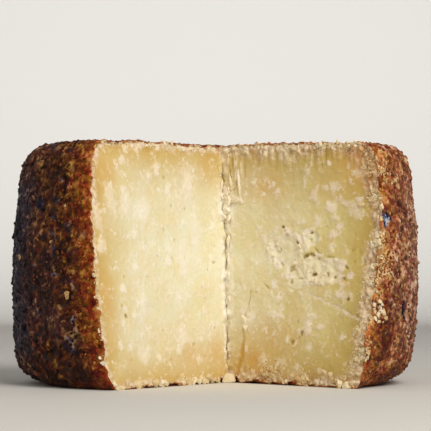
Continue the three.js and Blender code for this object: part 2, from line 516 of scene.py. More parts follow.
def crust_group():
    """Crust colour by a grain's tone: oranges and browns on the right, dark browns on the left, in warm and
    in greyer patches, greyer too in the bloom and in the painted sheen near the left and right edges, redder
    by the cut, each grain of its own hue, and navy to pale blue in mould. Shared by the crust and the grains
    on it."""
    group, start, end = new_group("crust", ("Tone", "Age", "By cut", "Mould", "Bloom and sheen"), Colour="Color")
    tone = start["Tone"]
    place = drawn_place(group)
    patches = soft_noise(group, place, 170.0, 4.0, 0.65)
    # Greyer in random patches, in the bloom, and in the painted sheen near the left and right edges
    grey = reckoned(group, "ADD", ranged(group, patches, 0.52, 0.7), start["Bloom and sheen"], clamp=True)
    lighter_tones = ramp(group, tone, {
        0.0: (80, 32, 13), 0.3: (128, 63, 27), 0.55: (170, 98, 44),
        0.8: (200, 138, 76), 1.0: (228, 186, 130),
    })
    lighter_grey = ramp(group, tone, {
        0.0: (68, 34, 28), 0.3: (122, 72, 48), 0.55: (168, 114, 82),
        0.8: (208, 164, 134), 1.0: (234, 206, 184),
    })
    darker_tones = ramp(group, tone, {
        0.0: (26, 10, 4), 0.3: (60, 27, 11), 0.55: (94, 46, 18),
        0.8: (132, 74, 29), 1.0: (192, 140, 74),
    })
    darker_grey = ramp(group, tone, {
        0.0: (18, 12, 18), 0.3: (39, 33, 45), 0.55: (60, 54, 70),
        0.8: (98, 86, 94), 1.0: (170, 154, 142),
    })
    lighter_edge = ramp(group, tone, {0.0: (104, 44, 18), 0.5: (200, 118, 50), 1.0: (236, 188, 118)})
    darker_edge = ramp(group, tone, {0.0: (84, 29, 9), 0.5: (170, 77, 22), 1.0: (220, 146, 66)})
    mould = ramp(group, tone, {0.25: (16, 20, 44), 0.5: (52, 64, 104), 0.8: (190, 198, 212)})
    lighter_tones = mixed(group, grey, lighter_tones, lighter_grey)
    darker_tones = mixed(group, grey, darker_tones, darker_grey)
    colour = mixed(group, start["Age"], lighter_tones, darker_tones)
    colour = mixed(group, start["By cut"], colour, mixed(group, start["Age"], lighter_edge, darker_edge))
    own = cell_noise(group, bent_place(group, place, 0.002), 420.0)[1]
    hue = ranged(group, own, 0.0, 1.0, 0.483, 0.517)
    colour = add(group, "HueSaturation", {"Hue": hue, "Color": colour}).outputs[0]
    plug(group, end, {"Colour": mixed(group, start["Mould"], colour, mould)})
    return group


crust = crust_group()


def crust_colour(tree, tone):
    """The shared crust colour for a tone, with the mesh's own maps of the darker left side, cut edge, mould,
    and bloom with painted sheen.
    """
    inputs = {"Age": "darker_left", "By cut": "by_cut", "Mould": "mould", "Bloom and sheen": "bloom_and_sheen"}
    inputs = {key: measured(tree, name) for key, name in inputs.items()}
    return add(tree, "Group", {"Tone": tone, **inputs}, node_tree=crust).outputs["Colour"]


# Dull, with a dusty sheen
RIND_FINISH = {
    "Specular IOR Level": 0.12,
    "Sheen Weight": 0.02,
    "Sheen Roughness": 0.4,
    "Sheen Tint": (0.9, 0.9, 1.0, 1.0),
}


def rind_material():
    """Brown crust: a grainy mix of every brown with pale and dark specks, cream and golden inside its cut
    edge."""
    material, tree, shader = new_material("rind")
    place = drawn_place(tree)
    coarse, pale_specks = speckled(tree, grains=420.0, specks=400.0, share=0.3, size=0.22)
    dark_specks = speckled(tree, grains=800.0, specks=260.0, share=0.4, size=0.3)["Specks"]
    own = cell_noise(tree, bent_place(tree, place, 0.002), 330.0)[1]
    medium = soft_noise(tree, place, 130.0, 3.0)
    broad = soft_noise(tree, place, 60.0, 2.0)
    tone = measured(tree, "tone")
    tone = weighed(tree, (own, 0.3), (coarse, 0.35), (medium, 0.7), (broad, 0.3), (tone, 0.25))
    tone = ranged(tree, tone, 0.5, 1.38)
    # Tone is lowered in the rind's pits as painted shade, and in the dark patches and mould spots that share
    # the same map
    tone = weighed(tree, (tone, 1.0), (dark_specks, -0.3), (measured(tree, "pit"), -0.45))
    tone = reckoned(tree, "MULTIPLY_ADD", pale_specks, 0.4, tone, clamp=True)
    crumbled = mixed(tree, ranged(tree, coarse, 0.35, 0.6), tint(176, 112, 56), tint(234, 212, 168))
    inside = ranged(tree, measured(tree, "inside"), 0.1, 0.5)
    relief = weighed(tree, (tone, 1.0), (soft_noise(tree, place, 1500.0, 3.0), 0.3))
    plug(tree, shader, {
        "Base Color": mixed(tree, inside, crust_colour(tree, tone), crumbled),
        "Roughness": ranged(tree, tone, 0.1, 0.9, 0.55, 0.85),
        "Normal": bumped(tree, relief, 0.8, 0.0012),
        **RIND_FINISH,
    })
    return material


UP_STEPS = 132
AROUND_STEPS = 470
ACROSS_STEPS = 70
CAP_RINGS = (30, 5)
HIDDEN_RINGS = (3, 3)
# How far the redder strips by the cuts reach, and the heights over which the right one widens
BY_LEFT_CUT = 17.0
BY_RIGHT_CUT = 11.0
BY_RIGHT_CUT_MORE = 5.0
BY_RIGHT_CUT_WIDENS = (80.0, 115.0)
# Painted sheen lies in strips this many degrees round from the front on each side, this wide; bloom and sheen
# both rise over the first heights and fade over the second
SHEEN_STRIP_TURN = 75.0
SHEEN_STRIP_HALF_WIDTH = 13.0
BLOOM_AND_SHEEN_RISES = (0.0, 25.0)
BLOOM_AND_SHEEN_FADES = (92.0, 112.0)
# Heights over which the painted shade at the rind's foot clears
SHADED_FOOT = (2.0, 34.0)
THIN_AT_CUT = 0.02
# Ovals on the rind: angle in degrees, height, half width, half height
MOULD_SPOTS = ((54.4, 82.0, 4.6, 6.0), (65.0, 37.0, 3.2, 5.0), (-58.0, 90.0, 2.6, 3.0))
DARK_PATCHES = ((54.0, 24.0, 9.0, 15.0), (49.4, 37.5, 3.0, 6.0))

side = wheel_side(UP_STEPS, np.linspace(0.0, 1.0, AROUND_STEPS + 1))
edges = cut_edges(side, meeting_line(UP_STEPS), ACROSS_STEPS, top_height, 0.0)
outside = skin(side, edges, CAP_RINGS, top_height, level(0.0))

# The inner side of the crust, a few columns round, by shares of the way. It lies close under the outside at
# each cut, and within a small share from there it sinks to the crust's full depth.
near_cut = np.array([0.0, 0.3 * THIN_AT_CUT, THIN_AT_CUT])
inner_around = np.concatenate([near_cut, np.linspace(0.06, 0.94, 16), 1.0 - near_cut[::-1]])
at_cut = 1.0 - smoothstep(np.minimum(inner_around, 1.0 - inner_around), 0.0, THIN_AT_CUT)
inner_depth = CRUST_DEPTH + (CRUST_AT_CUT - CRUST_DEPTH) * at_cut
inner_side = wheel_side(UP_STEPS, inner_around, depth=inner_depth, rough=at_cut)
step_in = np.array([0.0, 0.0, CRUST_AT_CUT])
inner_edges = {}
for name, column in CUT_COLUMNS.items():
    inner_edges[name] = {"top": edges[name]["top"] - step_in, "base": edges[name]["base"] + step_in}
    inner_side[-1, column] = inner_edges[name]["top"][-1]
    inner_side[0, column] = inner_edges[name]["base"][-1]
inner_levels = (level(HEIGHT - CRUST_DEPTH), level(CRUST_DEPTH))
inside = skin(inner_side, inner_edges, HIDDEN_RINGS, *inner_levels)
wall = np.stack([cut_loop(side, edges), cut_loop(inner_side, inner_edges)])
grids = outside + [(grid, not turned) for grid, turned in inside] + [(wall, False)]
is_inside = [np.zeros(grid.shape[:2]) for grid, turned in outside]
is_inside += [np.ones(grid.shape[:2]) for grid, turned in inside]
is_inside.append(np.repeat([[0.0], [1.0]], wall.shape[1], axis=1))
rind_points, rind_triangles, (rind_inside,) = weld(grids, is_inside)


def turned_about(points):
    """Angle of each point about the axis, from -Y towards +X, from -180 to 180 degrees."""
    return np.degrees(np.arctan2(points[:, 0], -points[:, 1]))


def cut_map(points):
    """1 at the cuts, falling to 0 at a ragged distance along the rind: the angle to the nearer cut about
    the axis, times the radius."""
    radius = np.hypot(points[:, 0], points[:, 1])
    angle = np.radians(turned_about(points)) % (2.0 * np.pi)
    right, left = cut_angles(points[:, 2], 0.0)
    ragged = layered(points, (3.0, 7.0, 91), (1.5, 2.5, 96))
    reach = BY_RIGHT_CUT + BY_RIGHT_CUT_MORE * smoothstep(points[:, 2], *BY_RIGHT_CUT_WIDENS)
    by_right = 1.0 - smoothstep(np.abs(angle - right) * radius + ragged, -1.0, reach)
    by_left = 1.0 - smoothstep(np.abs(left + 2.0 * np.pi - angle) * radius + ragged, -1.0, BY_LEFT_CUT)
    return np.maximum(0.95 * by_right, 0.85 * by_left)


def darker_left_map(points):
    """How far the rind takes its darker colours: 0 on the right, 1 on the left, with broad clouds between."""
    return smoothstep(-points[:, 0] / TOP_RADIUS + 0.5 * clumps(points, 38.0, 86), -0.7, 0.5)


def bloom_and_sheen_map(points):
    """Grey bloom and painted sheen on the rind: bloom in drifts where a broad noise is high, and painted
    sheen in a strip on the left and on the right, where the rind turns away from the front, both fainter at
    the foot and at the top."""
    drifts = smoothstep(clumps(points, 34.0, 111), 0.1, 0.6)
    sheen_strips = np.exp(-(((np.abs(turned_about(points)) - SHEEN_STRIP_TURN) / SHEEN_STRIP_HALF_WIDTH) ** 2))
    height = points[:, 2]
    strength = smoothstep(height, *BLOOM_AND_SHEEN_RISES) * (1.0 - 0.7 * smoothstep(height, *BLOOM_AND_SHEEN_FADES))
    return strength * np.maximum(0.5 * drifts, sheen_strips)


def patch_map(points, patch, first, last):
    """A ragged oval on the rind: 1 up to a first share of its half sizes, 0 past the last."""
    angle, height, half_width, half_height = patch
    across = np.radians(turned_about(points) - angle) * SHOULDER[0] / half_width
    upwards = (points[:, 2] - height) / half_height
    return 1.0 - smoothstep(np.hypot(across, upwards) + 0.5 * clumps(points, 3.0, 81), first, last)


def mould_map(points):
    """The spots of mould together."""
    return np.max([patch_map(points, spot, 0.6, 0.9) for spot in MOULD_SPOTS], axis=0)


def dark_map(points):
    """Dark places: ovals by the right cut, broken up by a noise, and the spots of mould after the first."""
    broken_up = smoothstep(clumps(points, 2.6, 99), -0.4, 0.1)
    ovals = [broken_up * patch_map(points, patch, 0.4, 1.2) for patch in DARK_PATCHES]
    return np.max(ovals + [patch_map(points, spot, 0.7, 1.0) for spot in MOULD_SPOTS[1:]], axis=0)


def above_shaded_foot(points):
    """0 at the foot of the rind, which is painted darker there as shade by the floor, rising to 1 above it.
    """
    return smoothstep(points[:, 2], *SHADED_FOOT)


def crust_maps(points):
    """The maps that the shared crust colour reads."""
    return {
        "by_cut": cut_map(points),
        "darker_left": darker_left_map(points),
        "mould": mould_map(points),
        "bloom_and_sheen": bloom_and_sheen_map(points),
    }


rind_tone, rind_pit = crust_grains(rind_points)[1:]
rind = mesh_piece(
    "rind", rind_points, rind_triangles, rind_material(), True,
    # The rind's tone is lowered towards the foot: painted shade by the floor.
    tone=rind_tone - 0.4 * (1.0 - above_shaded_foot(rind_points)),
    # The pit map carries painted shade in the pits, with the dark patches and mould spots.
    pit=np.maximum(rind_pit, 1.3 * dark_map(rind_points)),
    inside=rind_inside, **crust_maps(rind_points),
)
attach(rind, "root")
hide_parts("cheese")

# Rind grains
# Dried flakes and grains of the crust itself, which stand out of it like bran. They are as hard and dull as
# the rest of it, lie flat on it at every turn, and each is sunk into the rind by half its thickness.
SIDE_GRAINS = 6900
TOP_GRAINS = 2600
# Half lengths, half widths and half thicknesses, from the least to the most
GRAIN_SPANS = ((0.5, 1.3), (0.5, 1.3), (0.3, 0.7))
GRAIN_UNEVENNESS = 0.3
TOP_CLEAR = 14.0


def ball(subdivisions):
    """Points and triangles of a ball of radius 1, made of nearly equal triangles."""
    shape = bmesh.new()
    bmesh.ops.create_icosphere(shape, subdivisions=subdivisions, radius=1.0)
    mesh = bpy.data.meshes.new("ball")
    shape.to_mesh(mesh)
    shape.free()
    points = np.empty(3 * len(mesh.vertices), np.float32)
    mesh.vertices.foreach_get("co", points)
    corners = np.empty(len(mesh.loops), np.int32)
    mesh.loops.foreach_get("vertex_index", corners)
    bpy.data.meshes.remove(mesh)
    return points.reshape(-1, 3).astype(float), corners.reshape(-1, 3)


def scattered(shape, places, axes, sizes, unevenness, planes, draw):
    """Many small lumps as one mesh: a ball's points, each drawn in or out at random, pressed back onto a few
    random planes as if chipped off there, stretched by a lump's three half sizes along its own three axes,
    and set at its place. None reaches below the floor."""
    ball_points, ball_triangles = shape
    count = len(places)
    local = ball_points * (1.0 + unevenness * draw.uniform(-1.0, 1.0, (count, len(ball_points), 1)))
    for plane in range(planes):
        facing = draw.normal(size=(count, 1, 3))
        facing /= np.linalg.norm(facing, axis=-1, keepdims=True)
        beyond = np.sum(local * facing, axis=-1, keepdims=True) - draw.uniform(0.25, 0.8, (count, 1, 1))
        local = local - np.maximum(beyond, 0.0) * facing
    local = local * sizes[:, None]
    points = places[:, None] + np.einsum("lpk,lkx->lpx", local, axes)
    points[..., 2] = np.maximum(points[..., 2], 0.0)
    starts = len(ball_points) * np.arange(count)[:, None, None]
    return points.reshape(-1, 3), (ball_triangles[None] + starts).reshape(-1, 3)


def spun(along, outward, spin):
    """Three axes for each lump: the first lies along a direction turned by its spin about the outward one,
    the second lies across it, and the third points outwards."""
    across = np.cross(outward, along)
    turn_cos, turn_sin = np.cos(spin)[:, None], np.sin(spin)[:, None]
    first = along * turn_cos + across * turn_sin
    return np.stack([first, across * turn_cos - along * turn_sin, outward], axis=1)


grain_draw = np.random.default_rng(17)
grain_up = grain_draw.uniform(0.05, 1.0, SIDE_GRAINS)
right, left = cut_angles(profile(grain_up)[1], CUT_JAG)
grain_angle = right + (left + 2.0 * np.pi - right) * grain_draw.uniform(0.002, 0.998, SIDE_GRAINS)
side_places, side_out = on_rind(grain_angle, grain_up)
round_side = np.stack([np.cos(grain_angle), np.sin(grain_angle), 0.0 * grain_angle], axis=-1)
side_along = np.cross(side_out, round_side)

right, left = cut_angles(np.full(TOP_GRAINS, HEIGHT), 0.0)
top_angle = right + (left + 2.0 * np.pi - right) * grain_draw.uniform(0.01, 0.99, TOP_GRAINS)
top_radius = np.sqrt(grain_draw.uniform(TOP_CLEAR**2, TOP_RADIUS**2, TOP_GRAINS))
top_ground = np.stack([top_radius * np.sin(top_angle) + LEAN, -top_radius * np.cos(top_angle)], axis=-1)
top_places = np.column_stack([top_ground, top_height(top_ground)])
top_out = np.repeat(UPWARDS, TOP_GRAINS, axis=0)
top_along = np.tile([1.0, 0.0, 0.0], (TOP_GRAINS, 1))

grain_count = SIDE_GRAINS + TOP_GRAINS
grain_places = np.vstack([side_places, top_places])
side_spin = grain_draw.normal(0.0, 0.7, SIDE_GRAINS)
grain_spin = np.concatenate([side_spin, grain_draw.uniform(0.0, np.pi, TOP_GRAINS)])
grain_axes = spun(np.vstack([side_along, top_along]), np.vstack([side_out, top_out]), grain_spin)
grain_sizes = np.column_stack([grain_draw.uniform(*span, grain_count) for span in GRAIN_SPANS])
grain_points, grain_triangles = scattered(
    ball(1), grain_places, grain_axes, grain_sizes, GRAIN_UNEVENNESS, 0, grain_draw,
)
grain_tone = grain_draw.beta(1.1, 1.5, grain_count) * (1.0 - 0.7 * dark_map(grain_places))
# Grains darken towards the foot: painted shade by the floor.
grain_tone = grain_tone ** (1.6 - 0.6 * above_shaded_foot(grain_places))


def grain_material():
    """The crust's colours again, one tone for each grain, a little uneven."""
    material, tree, shader = new_material("rind_grains")
    fine = speckled(tree, grains=1100.0, specks=500.0, share=0.3, size=0.3)["Tone"]
    tone = weighed(tree, (measured(tree, "tone"), 0.8), (fine, 0.2))
    plug(tree, shader, {
        "Base Color": crust_colour(tree, tone),
        "Roughness": ranged(tree, fine, 0.2, 0.8, 0.6, 0.85),
        "Normal": bumped(tree, fine, 0.6, 0.0004),
        **RIND_FINISH,
    })
    return material


grain_maps = {"tone": grain_tone, **crust_maps(grain_places)}
points_each = len(grain_points) // grain_count
rind_grains = mesh_piece(
    "rind_grains", grain_points, grain_triangles, grain_material(), True,
    **{name: np.repeat(values, points_each) for name, values in grain_maps.items()},
)
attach(rind_grains, "root")
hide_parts("cheese")

# Paste
# The pale inside of the wheel, a hard crumbly mass. The knife parted it near the rind, and it broke ahead of
# the blade at the middle, so the two cut faces carry drag marks, pits, flakes and a crack where they meet.
PASTE_UP = 215
PASTE_ACROSS = 195
OVERLAP = 0.3
CHUNK_PITCH = 2.8
PINHOLE_PITCH = 7.0
SCRATCH_HALF_WIDTH = 0.7
# How far these reach in from the meeting line, from the rind and from the very edge
BY_LINE = (0.8, 4.5)
DEEP_FROM_LINE = 85.0
BY_RIND = 19.0
BY_EDGE = 3.0
# Heights over which the crumbled right rim widens, the seam narrows and its stain clears
RIM_WIDENS = (82.0, 108.0)
SEAM_NARROWS = (12.0, 34.0)
STAIN_CLEARS = (18.0, 30.0)
# Shares of the way across a face over which the unevenness of its rim comes in and that of its line goes out
RIM_ENTERS = (0.96, 1.0)
LINE_LEAVES = (0.0, 0.06)

# Marks on a face are placed by their distance from the meeting line and their height. Soft spots are
# rows of place, height, half width, half height and, where it isn't 1, strength. These are where the crack
# on the meeting line gapes.
MEETING_CRACK = (
    (0, 103, 1, 6, 1.2), (0, 79.5, 1, 3, 1.1), (0, 70, 1, 5, 0.6), (0, 41, 1, 4.5, 1.0), (0, 20, 1, 12, 1.1),
)
# Nicks are ovals: place, height, half length, half width, turn in degrees and strength. Seams and scratches
# are bent lines of places and heights, broken patches are ovals like the soft spots, and pale, warm and
# fluted places are soft spots. Torn says how far in from each edge a face is crumbled, and deep how strong
# the crumbs and the deeper yellow of the right face are.
LEFT_MARKS = {
    "nicks": (
        (46, 103, 1.2, 0.6, -50, 0.5), (42, 89, 1.2, 0.5, -60, 0.6), (49, 77, 0.8, 0.7, 0, 0.6),
        (43.5, 63, 1.2, 0.6, 95, 0.8), (41, 72, 1.0, 0.5, 80, 0.6), (55, 64, 0.7, 0.5, 0, 0.5),
        (83, 35, 1.3, 0.8, 20, 0.8), (29, 20, 0.9, 0.7, 80, 0.7), (64, 54, 0.7, 0.5, 0, 0.5),
        (10, 61, 1.3, 0.6, 0, 0.6), (18, 43, 0.7, 0.5, 90, 0.5), (13, 29, 0.9, 0.6, 80, 0.6),
        (2.5, 109, 3.0, 0.6, 84, 0.45),
    ),
    "seams": (),
    "scratches": (),
    "broken": (),
    "fluted": (),
    "pale": (
        (28, 102, 5, 9), (64, 87, 5, 8), (24, 77, 5, 9), (39, 23.5, 5, 5), (71, 15.5, 5, 3), (35, 60, 4, 9),
        (58, 14, 4, 3), (88, 91, 5, 8), (77, 90, 4, 8), (70, 40, 4, 8), (98, 84, 3, 8), (97, 70, 3, 6),
        (2.5, 92, 2, 6), (1.2, 36, 1.3, 30),
    ),
    "warm": (
        (32, 15, 11, 7, 0.7), (10, 17, 8, 8, 0.7), (13, 108, 6, 8, 0.7), (96, 43, 5, 14), (90, 105, 9, 8),
    ),
    "torn": {"rim": 4.6, "base": 4.6, "top": 4.0},
    "deep": 0.0,
}
RIGHT_MARKS = {
    "nicks": (
        (38, 79, 1.4, 0.8, 0, 0.9), (39, 77, 1.0, 0.6, 0, 0.4), (55, 75.5, 1.0, 0.8, 0, 0.8),
        (55.5, 72, 0.9, 0.6, 95, 0.5), (47, 71, 1.3, 0.8, -40, 0.9), (50.5, 68, 3.0, 0.5, -40, 0.35),
        (40.5, 75, 1.3, 0.6, 5, 0.4), (35.5, 67, 0.8, 0.7, 95, 0.7), (31, 63.5, 0.9, 0.7, 0, 0.7),
        (37.5, 60, 2.0, 0.7, -40, 0.6), (53, 64.3, 2.4, 1.2, 8, 0.85), (56.5, 64.6, 2.4, 1.1, -8, 0.8),
        (60, 66.5, 2.5, 0.7, -35, 0.6), (60.5, 63, 1.1, 0.6, 0, 0.6), (68, 63.5, 3.2, 0.5, -5, 0.5),
        (44.5, 58, 2.3, 1.6, 15, 0.5), (43.5, 57, 1.0, 0.8, 0, 0.7), (59.5, 55, 1.5, 1.0, 10, 1.0),
        (58, 54.5, 1.1, 0.7, 0, 0.9), (56.5, 58, 0.9, 0.5, 0, 0.4), (68, 55, 1.3, 0.7, 100, 0.7),
        (72.5, 53.5, 1.0, 0.8, 0, 0.8), (50.5, 53, 2.1, 0.6, -5, 0.5), (45, 51.5, 1.2, 1.1, 100, 0.6),
        (79, 58.5, 1.6, 0.7, -45, 0.7), (78, 52.5, 2.3, 1.2, -15, 0.5), (81.5, 67, 1.1, 0.6, 30, 0.4),
        (83.5, 61, 1.1, 0.7, 105, 0.4), (28.5, 49, 2.5, 0.6, -35, 0.5), (63, 51, 1.0, 0.6, 0, 0.35),
        (82, 43, 1.5, 1.1, 0, 0.8), (46.5, 21.5, 1.4, 1.2, 0, 0.7), (53, 26, 1.8, 1.1, 60, 0.8),
        (51, 24, 1.0, 0.7, 0, 0.5), (4.8, 105.5, 3.5, 0.5, 82, 0.5), (8.6, 101.5, 2.2, 0.8, 96, 0.6),
        (6.5, 98.2, 2.6, 0.5, 10, 0.5), (8.2, 108.5, 2.2, 0.6, 75, 0.45),
    ),
    "seams": (
        ((17.7, 46.5), (15.8, 40), (12.6, 31.5), (12, 26), (11.5, 20), (10.6, 13.5), (7.7, 8), (6.3, 4.5)),
    ),
    "scratches": (((57, 45.7), (66, 42.4), (79, 38), (87, 34.3), (94, 32.7)),),
    "broken": ((41, 67.5, 14.5, 8.5), (60, 57, 20, 7), (54, 73, 6, 4), (48, 50.5, 6, 3)),
    "fluted": ((7, 108, 8, 11), (48, 117, 40, 7, 0.8)),
    "pale": (
        (35, 97, 2, 2), (53, 106, 3, 2.5), (51.5, 102, 2, 2), (57, 94, 4, 3.5), (69, 98, 3, 2),
        (64, 97.5, 2.5, 2), (68, 89, 3, 2.5), (70, 83, 3, 2), (77, 90.5, 4, 2.5), (82, 87, 5, 5),
        (59, 82, 3, 2), (68, 68.5, 2, 3), (82.5, 105, 4, 3), (34.5, 35, 5, 2), (15, 32.5, 3, 5),
        (59, 34, 4, 1.5), (66, 29.5, 4, 1.5),
        (26, 12, 4, 2.5), (38, 12, 4, 2.5), (43.5, 22.5, 1.5, 2.5), (51, 27, 1.5, 2.5), (48, 20, 2, 1.5),
        (79, 45, 3, 3), (84, 44, 1.5, 3), (37, 43, 3, 2), (57, 30, 2, 4), (9, 93, 3, 3), (4, 84, 2.5, 12),
        (4, 55, 1.8, 18), (44, 74, 3, 2), (51, 74.5, 3, 2), (53.5, 70, 2, 2), (59.5, 64, 2.5, 2),
        (69, 62.3, 4, 1.2), (76, 59, 2, 3), (68.5, 75, 3, 2), (44, 54.5, 3, 2), (61, 51.8, 4, 2),
        (33, 61.5, 3, 2), (28.5, 63, 2, 3), (70.2, 53.6, 1.5, 2), (40, 77, 3, 1.5), (50, 81, 2.5, 1.5),
        (58, 82.7, 2, 2.5), (78, 49.5, 2, 2.5), (79, 66, 1.5, 2), (54, 63, 4, 0.8),
    ),
    "warm": (
        (27, 100, 12, 6, 0.9), (20, 12, 9, 8, 1.4), (32, 22, 16, 11, 0.7), (46, 22, 9, 7, 0.6),
        (85, 112, 17, 16, 1.4),
    ),
    "torn": {"rim": 10.0, "base": 8.0, "top": 8.0},
    "deep": 1.0,
}


def coons(line, rim, base, top):
    """A surface between four edges: the two level edges blended upwards, plus the two upright edges
    blended across, less the straight blend of the four corners."""
    u = np.linspace(0.0, 1.0, len(base))[None, :, None]
    v = np.linspace(0.0, 1.0, len(line))[:, None, None]
    upwards = (1 - v) * base[None] + v * top[None]
    across = (1 - u) * line[:, None] + u * rim[:, None]
    corners = (1 - u) * ((1 - v) * line[0] + v * line[-1]) + u * ((1 - v) * rim[0] + v * rim[-1])
    return upwards + across - corners


def spots(a, h, listed):
    """Soft spots: the largest of the bell curves about each listed place, by half width and half height,
    times a strength where one is listed."""
    total = np.zeros_like(a)
    for place, height, half_width, half_height, *strength in listed:
        bell = np.exp(-(((a - place) / half_width) ** 2) - ((h - height) / half_height) ** 2)
        total = np.maximum(total, bell * (strength[0] if strength else 1.0))
    return total


def nicked(a, h, listed):
    """Nicks: ovals, each with its strength inside half of it, falling to 0 just past its edge."""
    total = np.zeros_like(a)
    for place, height, half_length, half_width, turn, strength in listed:
        turn_cos, turn_sin = np.cos(np.radians(turn)), np.sin(np.radians(turn))
        along = ((a - place) * turn_cos + (h - height) * turn_sin) / half_length
        across = ((h - height) * turn_cos - (a - place) * turn_sin) / half_width
        total = np.maximum(total, strength * (1.0 - smoothstep(np.hypot(along, across), 0.5, 1.25)))
    return total


def grooves(a, h, listed, half_width):
    """Grooves along bent lines: 1 on a line, falling to 0 at the half width."""
    nearest = np.full_like(a, np.inf)
    for bends in listed:
        for (a0, h0), (a1, h1) in zip(bends, bends[1:]):
            share = ((a - a0) * (a1 - a0) + (h - h0) * (h1 - h0)) / ((a1 - a0) ** 2 + (h1 - h0) ** 2)
            share = np.clip(share, 0.0, 1.0)
            nearest = np.minimum(nearest, np.hypot(a - a0 - share * (a1 - a0), h - h0 - share * (h1 - h0)))
    return 1.0 - smoothstep(nearest, 0.2 * half_width, half_width)


def shaken(points, amount, width, seed):
    """Points moved by three noises, one along each axis."""
    return points + amount * np.stack([clumps(points, width, seed + 3 * k) for k in range(3)], axis=-1)


def paste_top(ground):
    """Height of the paste's top edge: just under the crust."""
    return top_height(ground) - paste_inset


paste_inset = CRUST_AT_CUT - OVERLAP
paste_depth = inner_depth - OVERLAP * at_cut
paste_side = wheel_side(PASTE_UP, inner_around, depth=paste_depth, rough=at_cut, tuck=OVERLAP)
even_side = wheel_side(PASTE_UP, inner_around[[0, -1]], depth=paste_inset, rough=0.0, tuck=OVERLAP, jag=0.0)
line = meeting_line(PASTE_UP, paste_inset, OVERLAP)
even_line = meeting_line(PASTE_UP, paste_inset, OVERLAP, waver=0.0)
paste_edges = cut_edges(paste_side, line, PASTE_ACROSS, paste_top, paste_inset)
line[-1] = paste_edges["right"]["top"][0]
line[0] = paste_edges["right"]["base"][0]


def face_form(name):
    """The smooth form of a cut face between its four edges. The unevenness of the rim and of the meeting
    line enters it only close to them, so that it draws no ridges across the face."""
    rim = paste_side[:, CUT_COLUMNS[name]]
    even_rim = even_side[:, CUT_COLUMNS[name]].copy()
    even_rim[[0, -1]] = rim[[0, -1]]
    straight = even_line.copy()
    straight[[0, -1]] = line[[0, -1]]
    share = np.linspace(0.0, 1.0, PASTE_ACROSS + 1)[None, :, None]
    form = coons(straight, even_rim, paste_edges[name]["base"], paste_edges[name]["top"])
    form = form + smoothstep(share, *RIM_ENTERS) * (rim - even_rim)[:, None]
    return form + (1.0 - smoothstep(share, *LINE_LEAVES)) * (line - straight)[:, None]


